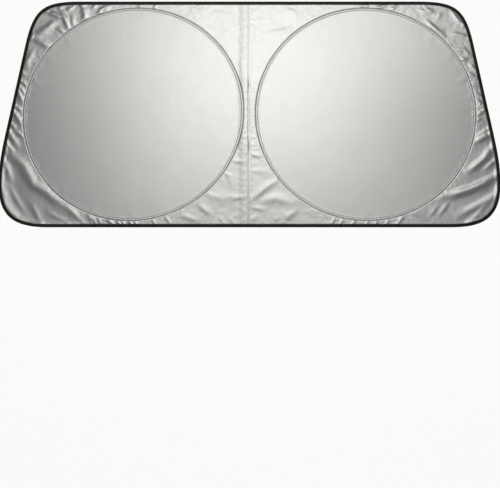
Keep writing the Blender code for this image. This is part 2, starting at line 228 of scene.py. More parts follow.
# Where the lap's edge stands up, most of all beside the neck: each place's Y, half length and strength
SEAM_STRONG = ((0.090, 0.040, 1.0), (-0.095, 0.055, 1.0), (-0.230, 0.060, 0.35), (0.200, 0.050, 0.25))
SEAM_SOFT = 0.022
SEAM_SHARP = 0.0018
SEAM_WAVE = 0.0005
SEAM_END_RUN = 0.01

# The puckers in the narrow neck between the hoops
NECK_PUCKER = 0.00040
NECK_HALF_LENGTH = 0.14
NECK_END_RUN = 0.05
NECK_HALF_WIDTH = 0.06
NECK_SIDE_RUN = 0.02
NECK_EDGE_RUN = 0.002

# The taut discs' faint waves, which fade inward from the casing, and their wide swell
DISC_WAVE = 0.00032
DISC_WAVE_REACH = 0.028
DISC_WAVE_START = 0.010
DISC_WAVE_OUTER = 1.5
DISC_SWELL = 0.00009
DISC_SWELL_SIZE = 0.045

# Beside each stitched row the cloth puffs up: the loose silver cloth most, all other cloth less
STITCH_PUFF = 0.0018
TAUT_PUFF = 0.0011
STITCH_PUFF_REACH = 0.0016
DISC_PUFF_REACH = 0.0003
ROW_LIFT = 0.0009
TAPE_PUFF_REACH = 0.0015
WELT_POWER = 4

# How finely the cloth is divided
HOOP_STATIONS = 640
RIM_SPACING = 0.0030
LATTICE = 0.0024
FINE_BAND = 0.013
CASING_ROWS = (-0.0058, -0.0046, -0.0039, -0.0034, -CASING_HALF_WIDTH, -0.0029, -0.0025, -0.0019, -0.0008,
               0.0008, 0.0019, 0.0025, 0.0029, CASING_HALF_WIDTH, 0.0034, 0.0039, 0.0046)
DISC_ROWS = ((-0.0080, 1), (-0.012, 2), (-0.018, 2), (-0.026, 2), (-0.036, 4))
LOOSE_LATTICE_STEP = 2
DISC_LATTICE_STEP = 4
LATTICE_SPARE = 1.2
LATTICE_EDGE_ROOM = 0.5
LATTICE_DISC_ROOM = 2
LATTICE_POINT_ROOM = 0.6
MESH_TOLERANCE = 1e-5
KEEP_INSIDE = 1
SEAM_ROWS = (0.0010, 0.0030, 0.0052, 0.0074, 0.0095, 0.0105, 0.0118, 0.0135, 0.0158, 0.0182)
PATH_SAMPLES = 48

# A length too small to matter, and one longer than any distance to an edge or a crest that matters
TINY = 1e-9
FAR = 1.0

# How the cloth is let go
FREE_ROOM = 1e-4
CLOTH_FRAMES = 14
CLOTH_QUALITY = 5
CLOTH_BENDING = 0.8
CLOTH_MASS = 0.1
CLOTH_STIFFNESS = 40
CLOTH_SHEAR = 12
CLOTH_AIR_DAMPING = 1
CLOTH_GROWTH_LEAST = 0.0003
CLOTH_GROWTH_MOST = 0.0018
GROWTH_START = 0.12
GROWTH_RUN = 0.25
GROWTH_LOW_START = 0.06
GROWTH_LOW_RUN = 0.12
GROWTH_LOW_CUT = 0.75

# Sizes and seeds of the uneven places in the cloth
UNEVEN_SIZE = 0.011
UNEVEN_SEED = 3.0
PUCKER_SIZE = 0.0045
PUCKER_STRETCH = 0.25
PUCKER_SEED = 8.0
DISC_WAVE_SIZE = 0.020
DISC_WAVE_AROUND = 0.3
DISC_WAVE_OUTWARD = 0.12
DISC_WAVE_SEED = 11.0
DISC_SWELL_SEED = 5.0

# The tape's section: inset from its outer edge, height above or below the middle, outer side first
TAPE_STITCH_INSET = 0.0083
TAPE_SECTION = (
    (BINDING_WIDTH, 0.00095), (0.0098, 0.00150), (0.0088, 0.00152), (TAPE_STITCH_INSET, 0.00140),
    (0.0078, 0.00158),
    (0.0062, 0.00205), (0.0043, 0.00220), (0.0024, 0.00190), (0.0010, 0.00125), (0.0002, 0.00060),
    (0.0000, 0.00000),
)
LINING_HEIGHT = 0.00085
TAPE_LINING = ((BINDING_WIDTH, -LINING_HEIGHT), (0.0020, -LINING_HEIGHT), (0.0012, 0.0),
               (0.0020, LINING_HEIGHT), (BINDING_WIDTH, LINING_HEIGHT))
TAPE_SPACING = 0.0025
TAPE_RIPPLE = 0.00015
TAPE_TOP_LEG = 0.0003
TAPE_RIPPLE_START = 0.002
TAPE_RIPPLE_PACE = 0.23
TAPE_RIPPLE_ACROSS = 90
TAPE_RIPPLE_SEED = 1.0
TAPE_RIPPLE_UP = 0.5
TAPE_MAP_STEP = 0.001
TAPE_ROW_SPACING = TAPE_SPACING * 2

# The stitches
STITCH_PITCH = 0.0050
STITCH_LENGTH = 0.0038
THREAD_RADIUS = 0.00020
HOOP_ROW_STEPS = 240
STITCH_RAISED_SHARE = 0.5
RAY_START = 0.1

# The small gathers that the casing's stitches pull in the cloth
GATHER_START = 0.0040
GATHER_END = 0.0110
GATHER_SCALE = (130, 30, 1)
GATHER_TICKS = 0.30
GATHER_BUMP = (0.6, 0.0006)

# The finishes: plain colour, the ends that it varies between, roughness, pattern sizes, and each bump's
# strength and depth
SILVER_COLOR = (0.62, 0.63, 0.60)
SILVER_COLOR_ENDS = ((0.600, 0.612, 0.578), (0.650, 0.660, 0.628))
SILVER_ROUGHNESS = 0.45
SILVER_ROUGHNESS_ENDS = (0.36, 0.44)
SILVER_METALLIC = 0.80
SILVER_CLOUD_SIZE = 0.09
SILVER_CREASE_SIZE = 0.011
SILVER_CREASE_STRETCH = (1, 1.6, 1)
SILVER_CREASE_BUMP = (0.20, 0.0003)
SILVER_YARN = 0.0005
SILVER_YARN_BUMP = (0.12, 0.00008)
CHARCOAL_COLOR = (0.045, 0.049, 0.043)
CHARCOAL_COLOR_ENDS = ((0.040, 0.044, 0.039), (0.052, 0.056, 0.050))
CHARCOAL_ROUGHNESS = 0.75
CHARCOAL_ROUGHNESS_ENDS = (0.68, 0.82)
CHARCOAL_SHEEN = 0.25
CHARCOAL_SHEEN_ROUGHNESS = 0.5
CHARCOAL_CLOUD_SIZE = 0.12
CHARCOAL_CREASE_SIZE = 0.013
CHARCOAL_CREASE_STRETCH = (1, 1.5, 1)
CHARCOAL_CREASE_BUMP = (0.2, 0.0004)
CHARCOAL_YARN = 0.0006
CHARCOAL_YARN_BUMP = (0.4, 0.0001)
TAPE_COLOR = (0.012, 0.012, 0.0115)
TAPE_COLOR_ENDS = ((0.010, 0.010, 0.0095), (0.016, 0.016, 0.015))
TAPE_ROUGHNESS = 0.50
TAPE_ROUGHNESS_ENDS = (0.42, 0.58)
TAPE_SHEEN = 0.02
TAPE_SPECULAR = 0.50
TAPE_MAP_SCALE = (1000, 1000, 1000)
TAPE_RIB_SCALE = 0.35
TAPE_RIB_DISTORTION = 0.3
TAPE_RIB_BUMP = (0.5, 0.00015)
TAPE_FUZZ_SIZE = 0.004
TAPE_FUZZ_BUMP = (0.3, 0.0002)
SILVER_THREAD_ENDS = ((0.78, 0.78, 0.76), (0.94, 0.94, 0.91))
SILVER_THREAD_METALLIC = 0.5
CHARCOAL_THREAD_ENDS = ((0.020, 0.022, 0.020), (0.036, 0.039, 0.035))
TAPE_THREAD_ENDS = ((0.010, 0.010, 0.010), (0.022, 0.022, 0.021))
THREAD_ROUGHNESS = 0.6
THREAD_TWIST_SIZE = 0.0007
THREAD_TWIST_BUMP = (0.4, 0.00008)
STEEL_COLOR = (0.55, 0.56, 0.57)
STEEL_COLOR_ENDS = ((0.48, 0.49, 0.50), (0.60, 0.61, 0.62))
STEEL_ROUGHNESS = 0.35
STEEL_ROUGHNESS_ENDS = (0.28, 0.45)
STEEL_MARK_SIZE = 0.003
STEEL_MARK_BUMP = (0.15, 0.0001)
NOISE_ROUGHNESS = 0.55
WEAVE_SCALE = 0.31
WEAVE_DISTORTION = 0.15
WEAVE_DETAIL_SCALE = 2.0

# The Mix node's colour sockets by number, because its other sockets have the same names
MIX_FACTOR = 0
MIX_FIRST = 6
MIX_SECOND = 7
MIX_RESULT = 2

# The floor, the light and the camera, which looks straight down. Each lamp has its name, X, Y and watts
FLOOR_SIZE = 12
FLOOR_HEIGHT = -0.0004
FLOOR_COLOR = (0.85, 0.85, 0.85)
FLOOR_ROUGHNESS = 0.9
BACKDROP_SHARE = 0.95
WHITE = (1, 1, 1, 1)
WORLD_STRENGTH = 0.10
LAMP_HEIGHT = 1.5
LAMP_SIZE = 0.4
LAMPS = (
    ("top_left_panel", -0.6, 0.5, 0.64),
    ("top_mid_left_panel", -0.2, 0.5, 1.68),
    ("top_mid_right_panel", 0.2, 0.5, 1.65),
    ("top_right_panel", 0.6, 0.5, 1.35),
    ("mid_left_panel", -0.2, 0.1, 1.30),
    ("mid_right_panel", 0.2, 0.1, 1.42),
    ("low_left_panel", -0.6, -0.3, 0.32),
    ("low_mid_left_panel", -0.2, -0.3, 0.60),
    ("low_mid_right_panel", 0.2, -0.3, 0.38),
    ("low_right_panel", 0.6, -0.3, 0.58),
)
CAMERA_HEIGHT = 6.0
SENSOR_MM = 36
VIEW_WIDTH = PHOTO_SIZE[0] * PIXEL
VIEW_CENTRE = ((PHOTO_SIZE[0] / 2 - ORIGIN_PIXEL[0]) * PIXEL,
               (ORIGIN_PIXEL[1] - PHOTO_SIZE[1] / 2) * PIXEL)


def half_outline():
    """Points along the outer edge of one half, from mid top round to mid bottom."""
    top_corner = Vector((TOP_HALF_WIDTH, HALF_HEIGHT))
    bottom_corner = Vector((BOTTOM_HALF_WIDTH, -HALF_HEIGHT))
    outward = Vector((1, 0))
    down_side = (bottom_corner - top_corner).normalized()
    top_end = top_corner - outward * TOP_CORNER_RUN
    side_start = top_corner + down_side * TOP_CORNER_RUN
    side_end = bottom_corner - down_side * BOTTOM_CORNER_RISE
    bottom_start = bottom_corner - outward * BOTTOM_CORNER_RUN

    def rounded(start, corner, end, start_fullness, end_fullness):
        handles = start.lerp(corner, start_fullness), end.lerp(corner, end_fullness)
        return interpolate_bezier(start, *handles, end, PATH_SAMPLES)

    path = [Vector((0, HALF_HEIGHT))]
    path += rounded(top_end, top_corner, side_start, TOP_CORNER_FULLNESS, TOP_CORNER_FULLNESS)
    path += rounded(side_end, bottom_corner, bottom_start,
                    BOTTOM_CORNER_SIDE_FULLNESS, BOTTOM_CORNER_EDGE_FULLNESS)
    path.append(Vector((0, -HALF_HEIGHT)))
    return [Vector(point[:2]) for point in path]


def spaced(path, spacing):
    """Points about that far apart along a path, each with the direction to its right hand."""
    lengths = [(b - a).length for a, b in zip(path, path[1:])]
    count = max(2, round(sum(lengths) / spacing))
    step = sum(lengths) / count
    points = []
    index, start = 0, 0.0
    for number in range(count + 1):
        wanted = min(number * step, sum(lengths) - TINY)
        while start + lengths[index] < wanted:
            start += lengths[index]
            index += 1
        along = (path[index + 1] - path[index]) / lengths[index]
        points.append((path[index] + along * (wanted - start), Vector((along.y, -along.x))))
    return points


OUTLINE = half_outline()


def panel_edge(side):
    """Where a panel ends at the seam, measured outward from the centre line."""
    return SEAM_EDGE_OFFSET if side == "left" else -(SEAM_EDGE_OFFSET + LAP_WIDTH)


def hoop_point(side, bearing, offset):
    """The point beside the hoop's line at a bearing on it."""
    skewed = bearing + HOOP_SKEW[side]
    on_hoop = Vector((HOOP_HALF_WIDTH * math.cos(bearing), HOOP_HALF_HEIGHT * math.sin(skewed)))
    outward = Vector((HOOP_HALF_HEIGHT * math.cos(skewed), HOOP_HALF_WIDTH * math.sin(bearing)))
    return HOOP_CENTRE + on_hoop + outward.normalized() * offset


def hoop_place(side, points):
    """For an array of points, the bearing that each faces on the hoop and how far outside it lies."""
    skew = HOOP_SKEW[side]
    across = (points[:, 0] - HOOP_CENTRE.x) / HOOP_HALF_WIDTH
    up = points[:, 1] / HOOP_HALF_HEIGHT
    bearing = np.arctan2((up - across * math.sin(skew)) / math.cos(skew), across)
    skewed = bearing + skew
    on_hoop = np.stack([HOOP_CENTRE.x + HOOP_HALF_WIDTH * np.cos(bearing),
                        HOOP_HALF_HEIGHT * np.sin(skewed)], 1)
    outward = np.stack([HOOP_HALF_HEIGHT * np.cos(skewed), HOOP_HALF_WIDTH * np.sin(bearing)], 1)
    outward /= np.linalg.norm(outward, axis=1)[:, None]
    return bearing, ((points - on_hoop) * outward).sum(1)


def rim_distance(points):
    """How far each point of an array is inside the outer edge, which turns one way all round."""
    nearest = np.full(len(points), FAR)
    for start, end in zip(OUTLINE, OUTLINE[1:]):
        along = (end - start).normalized()
        nearest = np.minimum(nearest, (points - np.array(start)) @ np.array((along.y, -along.x)))
    return nearest


def half_points(side):
    """The boundary loop of a half sheet seen from above, and the rows of points inside it."""
    edge = panel_edge(side)
    reach = HALF_HEIGHT - BINDING_WIDTH
    path = [Vector((edge, HALF_HEIGHT)), *OUTLINE[1:-1], Vector((edge, -HALF_HEIGHT))]

    def rim_row(inset):
        return [point + inward * inset for point, inward in spaced(path, RIM_SPACING)]

    def upright_row(u):
        return [point for point, _ in spaced([Vector((u, -reach)), Vector((u, reach))], RIM_SPACING)]

    boundary = rim_row(CLOTH_INSET) + upright_row(edge)
    rows = rim_row(BINDING_WIDTH)[1:-1]
    for run in SEAM_ROWS:
        rows += upright_row(edge + run)[1:-1]
    for offset in CASING_ROWS:
        rows += [hoop_point(side, math.tau * step / HOOP_STATIONS, offset) for step in range(HOOP_STATIONS)]
    for offset, stride in DISC_ROWS:
        rows += [hoop_point(side, math.tau * step / HOOP_STATIONS, offset)
                 for step in range(0, HOOP_STATIONS, stride)]
    return boundary, rows


def lattice_points(side, placed):
    """A triangular lattice over the loose cloth, coarser in its middle, and a few points in the disc."""
    columns = np.arange(-1, int(BOTTOM_HALF_WIDTH / LATTICE))
    last_line = int(HALF_HEIGHT / LATTICE * LATTICE_SPARE)
    lines = np.arange(-last_line, last_line + 1)
    i, j = (part.ravel() for part in np.meshgrid(columns, lines))
    points = np.stack([(i + 0.5 * (j % 2)) * LATTICE, j * LATTICE * math.sqrt(0.75)], 1)
    outside = hoop_place(side, points)[1]
    room = np.minimum(np.minimum(outside - CASING_ROWS[-1], rim_distance(points) - BINDING_WIDTH),
                      points[:, 0] - panel_edge(side) - SEAM_ROWS[-1])

    def every(step):
        return (j % step == 0) & ((i - j // 2) % step == 0)

    loose = (room > LATTICE * LATTICE_EDGE_ROOM) & ((room < FINE_BAND) | every(LOOSE_LATTICE_STEP))
    disc = (outside < DISC_ROWS[-1][0] - LATTICE * LATTICE_DISC_ROOM) & every(DISC_LATTICE_STEP)
    tree = KDTree(len(placed))
    for index, point in enumerate(placed):
        tree.insert(point.to_3d(), index)
    tree.balance()
    found = [Vector(point) for point in points[loose | disc]]
    return [point for point in found if tree.find(point.to_3d())[2] > LATTICE * LATTICE_POINT_ROOM]


def photo_place(side, x, y):
    """A pixel's place in a half's own plane."""
    across = (x - ORIGIN_PIXEL[0]) * PIXEL * SIDE_SIGN[side]
    return np.array((across, (ORIGIN_PIXEL[1] - y) * PIXEL))


def crest_distance(points, places):
    """How far each point of an array is from a crest's line, and its share of the way along that."""
    nearest = np.full(len(points), FAR)
    reached = np.zeros(len(points))
    passed = 0.0
    for start, end in zip(places, places[1:]):
        along = end - start
        share = np.clip((points - start) @ along / (along @ along), 0, 1)
        distance = np.linalg.norm(points - start - share[:, None] * along, axis=1)
        length = np.linalg.norm(along)
        closer = distance < nearest
        reached[closer] = passed + share[closer] * length
        nearest[closer] = distance[closer]
        passed += length
    return nearest, reached / passed


def smooth_step(value):
    value = np.clip(value, 0, 1)
    return value * value * (3 - 2 * value)


def noise_at(points, size, seed):
    """Smooth noise between about -1 and 1 at each point of an array, with bumps of that size."""
    return np.array([noise.noise(Vector((x / size, y / size, seed))) for x, y in points])


def fold_line(side, face="front"):
    """Where the loose cloth begins beside the seam: a lap's top layer is free up to its own stitching."""
    if side == "left" and face == "front":
        return panel_edge(side) + SEAM_STITCH_INSET + SEAM_STITCH_ROOM
    return panel_edge(side) + LAP_WIDTH + LAP_RAMP


def under_tape(inset):
    """The share of the cloth's full height at each inset: none at its edge, all at the tape's inner side."""
    return smooth_step((inset - CLOTH_INSET) / (BINDING_WIDTH - CLOTH_INSET))


def crest_lift(side, points):
    """The folds' first form: how far the cloth stands up, also under the edge's tape."""
    rim = rim_distance(points)
    outside = hoop_place(side, points)[1]
    inner_room = np.maximum(np.minimum(outside - CASING_HALF_WIDTH, points[:, 0] - fold_line(side)), 0)
    uneven = CREST_UNEVEN_LEAST + (CREST_UNEVEN_MOST - CREST_UNEVEN_LEAST) * growth_share(points)
    lift = (CREST_LOOSE_LIFT + uneven * noise_at(points, UNEVEN_SIZE, UNEVEN_SEED)) * under_tape(rim)
    by_rim = 1 - smooth_step((rim - BINDING_WIDTH) / CREST_RIM_REACH)
    for half_width, height, *places in CRESTS:
        if (places[0][0] > ORIGIN_PIXEL[0]) != (side == "right"):
            continue
        distance, reached = crest_distance(points, [photo_place(side, *place) for place in places])
        inner = smooth_step(np.minimum(reached, 1 - reached) / CREST_TAPER)
        full = np.maximum(CREST_END_SHARE + (1 - CREST_END_SHARE) * inner, by_rim)
        lift += height * full * np.exp(-((distance / half_width) ** 2))
    most = EDGE_LIFT_MOST + EDGE_LIFT_SLOPE * np.maximum(rim - BINDING_WIDTH, 0)
    limit = np.minimum(inner_room * CREST_SLOPE + CREST_LIMIT_LEAST, most)
    return limit * np.tanh(np.maximum(lift, 0) / limit)


def growth_share(points):
    """How slack the cloth is at each point: least by the seam, most at the sides and the upper corners."""
    out = smooth_step((points[:, 0] - GROWTH_START) / GROWTH_RUN)
    low = smooth_step((-GROWTH_LOW_START - points[:, 1]) / GROWTH_LOW_RUN)
    return out * (1 - GROWTH_LOW_CUT * low)


def simulate_loose_cloth(side, points, faces, lift, free):
    """Lets the loose cloth buckle between its sewn edges, and gives each point's moved place."""
    used = np.zeros(len(points), bool)
    kept = [face for face in faces if any(free[index] for index in face)]
    for face in kept:
        used[face] = True
    new_index = np.cumsum(used) - 1
    start = np.column_stack([points, lift])
    mesh = bpy.data.meshes.new("loose_cloth")
    mesh.from_pydata(start[used].tolist(), [], [[int(new_index[index]) for index in face] for face in kept])
    cloth_piece = bpy.data.objects.new("loose_cloth", mesh)
    bpy.context.scene.collection.objects.link(cloth_piece)
    held = cloth_piece.vertex_groups.new(name="held")
    held.add([int(index) for index in np.flatnonzero(~free[used])], 1, "REPLACE")
    slack = cloth_piece.vertex_groups.new(name="slack")
    for index, share in enumerate(growth_share(points[used])):
        slack.add([index], float(share), "REPLACE")
    cloth = cloth_piece.modifiers.new("cloth", "CLOTH")
    settings = cloth.settings
    settings.vertex_group_mass = "held"
    settings.effector_weights.gravity = 0
    settings.quality = CLOTH_QUALITY
    settings.mass = CLOTH_MASS
    settings.tension_stiffness = CLOTH_STIFFNESS
    settings.compression_stiffness = CLOTH_STIFFNESS
    settings.shear_stiffness = CLOTH_SHEAR
    settings.bending_stiffness = CLOTH_BENDING
    settings.air_damping = CLOTH_AIR_DAMPING
    settings.shrink_min = -CLOTH_GROWTH_LEAST
    settings.shrink_max = -CLOTH_GROWTH_MOST
    settings.vertex_group_shrink = "slack"
    cloth.collision_settings.use_collision = False
    scene = bpy.context.scene
    for frame_number in range(1, CLOTH_FRAMES + 1):
        scene.frame_set(frame_number)
        cloth_piece.evaluated_get(bpy.context.evaluated_depsgraph_get())
    evaluated = cloth_piece.evaluated_get(bpy.context.evaluated_depsgraph_get())
    moved = np.zeros(len(evaluated.data.vertices) * 3)
    evaluated.data.vertices.foreach_get("co", moved)
    start[used] = moved.reshape(-1, 3)
    scene.frame_set(1)
    bpy.data.objects.remove(cloth_piece)
    bpy.data.meshes.remove(mesh)
    return start


def half_sheet(side):
    """The plan, faces and simulated lift of one half's cloth, which both of its faces share."""
    boundary, rows = half_points(side)
    placed = boundary + rows
    everything = placed + lattice_points(side, placed)
    outer = list(range(len(boundary)))
    points, _, faces, _, _, _ = delaunay_2d_cdt(everything, [], [outer], KEEP_INSIDE, MESH_TOLERANCE)
    points = np.array([tuple(point) for point in points])
    faces = [list(face) for face in faces]
    bearing, outside = hoop_place(side, points)
    rim = rim_distance(points)
    room = np.minimum(np.minimum(outside - CASING_ROWS[-1], rim - BINDING_WIDTH),
                      points[:, 0] - fold_line(side))
    free = room > FREE_ROOM
    lift = crest_lift(side, points)
    moved = simulate_loose_cloth(side, points, faces, lift, free)
    in_neck = (smooth_step((NECK_HALF_LENGTH - np.abs(points[:, 1])) / NECK_END_RUN)
               * smooth_step(np.maximum(room, 0) / NECK_EDGE_RUN)
               * smooth_step((NECK_HALF_WIDTH - points[:, 0]) / NECK_SIDE_RUN))
    neck = NECK_PUCKER * in_neck * (1 + noise_at(points * (PUCKER_STRETCH, 1), PUCKER_SIZE, PUCKER_SEED))
    around = np.column_stack([bearing * DISC_WAVE_AROUND, outside * DISC_WAVE_OUTWARD])
    return {"plan": points, "moved": moved, "faces": faces, "bearing": bearing, "outside": outside,
            "rim": rim, "neck": neck, "disc_noise": noise_at(around, DISC_WAVE_SIZE, DISC_WAVE_SEED),
            "swell_noise": noise_at(points, DISC_SWELL_SIZE, DISC_SWELL_SEED)}


def seam_strength(y):
    """How sharply the lap's edge stands out at each place along the seam."""
    strength = np.zeros(len(y))
    for centre, reach, share in SEAM_STRONG:
        strength += share * np.exp(-(((y - centre) / reach) ** 2))
    return np.clip(strength, 0, 1)


def stitched_swelling(face, half):
    """How far the cloth stands off its layer: over the wire, at the stitched rows and beside them."""
    outside = half["outside"]
    across = np.clip(np.abs(outside) / CASING_HALF_WIDTH, 0, 1)
    welt = (CASING_LIFT - ROW_LIFT) * (1 - across ** WELT_POWER)
    beside = np.maximum(np.abs(outside) - CASING_HALF_WIDTH, 0)
    loose = (outside > 0) & (face == "front")
    puff_reach = np.where(loose, STITCH_PUFF_REACH, DISC_PUFF_REACH)
    puff = (np.where(loose, STITCH_PUFF, TAUT_PUFF) - ROW_LIFT) * (1 - np.exp(-beside / puff_reach))
    if face == "front":
        inside_tape = under_tape(half["rim"])
    else:
        inside_tape = 1 - np.exp(-np.maximum(half["rim"] - BINDING_WIDTH, 0) / TAPE_PUFF_REACH)
    return (ROW_LIFT + welt + puff) * inside_tape


def lap_height(side, face, half):
    """How far the lap's layers lift the cloth by the seam, and the wave along the lap's edge."""
    lap_lift = (LAP_ORDER[face, side] - FACE_ORDER[face]) * LAYER_PITCH
    past_lap = half["plan"][:, 0] - (panel_edge(side) + LAP_WIDTH)
    strength = seam_strength(half["plan"][:, 1])
    ramp_run = SEAM_SOFT
    if side == "right":
        ramp_run = SEAM_SOFT + (SEAM_SHARP - SEAM_SOFT) * strength
    ramp = smooth_step(1 - past_lap / ramp_run)
    inside = smooth_step((half["rim"] - BINDING_WIDTH) / SEAM_END_RUN)
    wave = SEAM_WAVE * strength * inside * smooth_step(1 - past_lap / SEAM_SOFT)
    return ramp * lap_lift + wave * (ramp > 0)


def disc_waves(half):
    """The faint waves and the wide swell of a taut disc."""
    depth = np.maximum(-half["outside"], 0)
    in_disc = smooth_step((-half["outside"] - CASING_HALF_WIDTH) / DISC_WAVE_START)
    waves = DISC_WAVE * np.exp(-((depth / DISC_WAVE_REACH) ** 2)) * half["disc_noise"]
    waves *= 1 + DISC_WAVE_OUTER * smooth_step(np.cos(half["bearing"]))
    return in_disc * (waves + DISC_SWELL * half["swell_noise"])


def fold_height(side, face, half):
    """How far the folds and the neck's puckers raise a face: the underside follows the top in part."""
    raised = np.maximum(half["moved"][:, 2], 0) + half["neck"]
    if face == "front":
        return raised
    near_edge = 1 - smooth_step((half["rim"] - BINDING_WIDTH) / BACK_EDGE_RUN)
    beside_seam = smooth_step((half["plan"][:, 0] - fold_line(side, face)) / BACK_SEAM_RUN)
    return (BACK_FOLD_SHARE + (1 - BACK_FOLD_SHARE) * near_edge) * beside_seam * raised


def sheet_heights(side, face, half):
    """The height of every point of a sheet, from the layers, the stitching, the seam and the folds."""
    up = 1 if face == "front" else -1
    base = MID_HEIGHT + up * LAYER_PITCH / 2
    return (base + up * stitched_swelling(face, half) + lap_height(side, face, half)
            + disc_waves(half) + fold_height(side, face, half))


def add_casing_map(data, half):
    """A map in metres for the gathers at the casing: along the hoop, and outward from its line."""
    corners = np.zeros(len(data.loops), np.int32)
    data.loops.foreach_get("vertex_index", corners)
    bearing = half["bearing"][corners].reshape(-1, 3)
    wrapped = np.ptp(bearing, axis=1) > math.pi
    bearing[wrapped] = np.where(bearing[wrapped] < 0, bearing[wrapped] + math.tau, bearing[wrapped])
    places = np.column_stack([bearing.ravel() * HOOP_HALF_WIDTH, half["outside"][corners]])
    data.uv_layers.new(name="casing").data.foreach_set("uv", places.astype(np.float32).ravel())


def make_sheet(side, face, half, material):
    sign = SIDE_SIGN[side]
    heights = sheet_heights(side, face, half)
    moved = half["moved"]
    coordinates = np.column_stack([sign * moved[:, 0], moved[:, 1], heights])
    name = f"{face}_cloth_{side}"
    data = bpy.data.meshes.new(name)
    data.from_pydata(coordinates.tolist(), [], half["faces"])
    mesh = bmesh.new()
    mesh.from_mesh(data)
    bmesh.ops.recalc_face_normals(mesh, faces=mesh.faces)
    if sum(one.normal.z for one in mesh.faces) < 0:
        bmesh.ops.reverse_faces(mesh, faces=mesh.faces)
    mesh.to_mesh(data)
    mesh.free()
    data.shade_smooth()
    add_casing_map(data, half)
    piece = bpy.data.objects.new(name, data)
    bpy.context.scene.collection.objects.link(piece)
    data.materials.append(material)
    thickness = piece.modifiers.new("thickness", "SOLIDIFY")
    thickness.thickness = CLOTH_THICKNESS
    thickness.offset = 0
    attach(piece, "root")
    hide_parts(f"{face}_panel_{side}")
    return piece


def new_material(name, color, roughness, metallic=0.0):
    """A material with its shader's plain values, and what a pattern needs to join it."""
    material = bpy.data.materials.new(name)
    material.use_nodes = True
    shader = material.node_tree.nodes["Principled BSDF"]
    shader.inputs["Base Color"].default_value = (*color, 1)
    shader.inputs["Roughness"].default_value = roughness
    shader.inputs["Metallic"].default_value = metallic
    return material, material.node_tree, shader


def add_node(tree, kind, settings=None, links=None, **values):
    """A shader node with its settings, its input values by name and its linked inputs."""
    made = tree.nodes.new(kind)
    for key, value in (settings or {}).items():
        setattr(made, key, value)
    for key, value in values.items():
        made.inputs[key.replace("_", " ")].default_value = value
    for key, socket in (links or {}).items():
        tree.links.new(socket, made.inputs[key])
    return made


def object_place(tree, scale):
    """Object coordinates, scaled."""
    place = add_node(tree, "ShaderNodeTexCoord")
    return add_node(tree, "ShaderNodeMapping", links={"Vector": place.outputs["Object"]}, Scale=scale)


def add_noise(tree, size, detail=2.0, stretch=(1, 1, 1)):
    mapping = object_place(tree, tuple(part / size for part in stretch))
    return add_node(tree, "ShaderNodeTexNoise", links={"Vector": mapping.outputs["Vector"]},
                    Scale=1.0, Detail=detail, Roughness=NOISE_ROUGHNESS).outputs["Fac"]


def add_weave(tree, yarn):
    """Crossed yarns that pass over and under each other, from two waves."""
    waves = []
    for direction in ("X", "Y"):
        mapping = object_place(tree, (1 / yarn, 1 / yarn, 1 / yarn))
        waves.append(add_node(tree, "ShaderNodeTexWave", {"bands_direction": direction},
                              {"Vector": mapping.outputs["Vector"]}, Scale=WEAVE_SCALE,
                              Distortion=WEAVE_DISTORTION, Detail=1.0,
                              Detail_Scale=WEAVE_DETAIL_SCALE).outputs["Fac"])
    return add_node(tree, "ShaderNodeMath", {"operation": "MULTIPLY"}, {0: waves[0], 1: waves[1]}).outputs[0]


def add_bumps(tree, shader, layers):
    """Bumps on top of each other: each has a height socket, a strength and a depth."""
    normal = None
    for height, strength, depth in layers:
        links = {"Height": height}
        if normal is not None:
            links["Normal"] = normal
        bump = add_node(tree, "ShaderNodeBump", links=links, Strength=strength, Distance=depth)
        normal = bump.outputs["Normal"]
    tree.links.new(normal, shader.inputs["Normal"])


def add_mottle(tree, shader, socket, low, high, factor):
    """Varies a shader's value or colour between two ends by a factor."""
    if isinstance(low, tuple):
        mix = add_node(tree, "ShaderNodeMix", {"data_type": "RGBA"}, {MIX_FACTOR: factor})
        mix.inputs[MIX_FIRST].default_value = (*low, 1)
        mix.inputs[MIX_SECOND].default_value = (*high, 1)
        tree.links.new(mix.outputs[MIX_RESULT], shader.inputs[socket])
    else:
        span = add_node(tree, "ShaderNodeMapRange", links={"Value": factor}, To_Min=low, To_Max=high)
        tree.links.new(span.outputs["Result"], shader.inputs[socket])


def add_gathers(tree):
    """Small gathers at each stitch of the casing, which fade away from its two rows."""
    place = add_node(tree, "ShaderNodeUVMap", {"uv_map": "casing"})
    parts = add_node(tree, "ShaderNodeSeparateXYZ", links={"Vector": place.outputs["UV"]})
    turn = add_node(tree, "ShaderNodeMath", {"operation": "MULTIPLY"}, {0: parts.outputs["X"]})
    turn.inputs[1].default_value = math.tau / STITCH_PITCH
    wave = add_node(tree, "ShaderNodeMath", {"operation": "SINE"}, {0: turn.outputs[0]})
    across = add_node(tree, "ShaderNodeMath", {"operation": "ABSOLUTE"}, {0: parts.outputs["Y"]})
    near = add_node(tree, "ShaderNodeMapRange", {"interpolation_type": "SMOOTHSTEP"},
                    {"Value": across.outputs[0]},
                    From_Min=GATHER_START, From_Max=GATHER_END, To_Min=1.0, To_Max=0.0)
    stretched = add_node(tree, "ShaderNodeMapping", links={"Vector": place.outputs["UV"]},
                         Scale=GATHER_SCALE)
    uneven = add_node(tree, "ShaderNodeTexNoise", links={"Vector": stretched.outputs["Vector"]},
                      Scale=1.0, Detail=2.0).outputs["Fac"]
    ticks = add_node(tree, "ShaderNodeMath", {"operation": "MULTIPLY_ADD"}, {0: wave.outputs[0], 2: uneven})
    ticks.inputs[1].default_value = GATHER_TICKS
    return add_node(tree, "ShaderNodeMath", {"operation": "MULTIPLY"},
                    {0: ticks.outputs[0], 1: near.outputs["Result"]}).outputs[0]


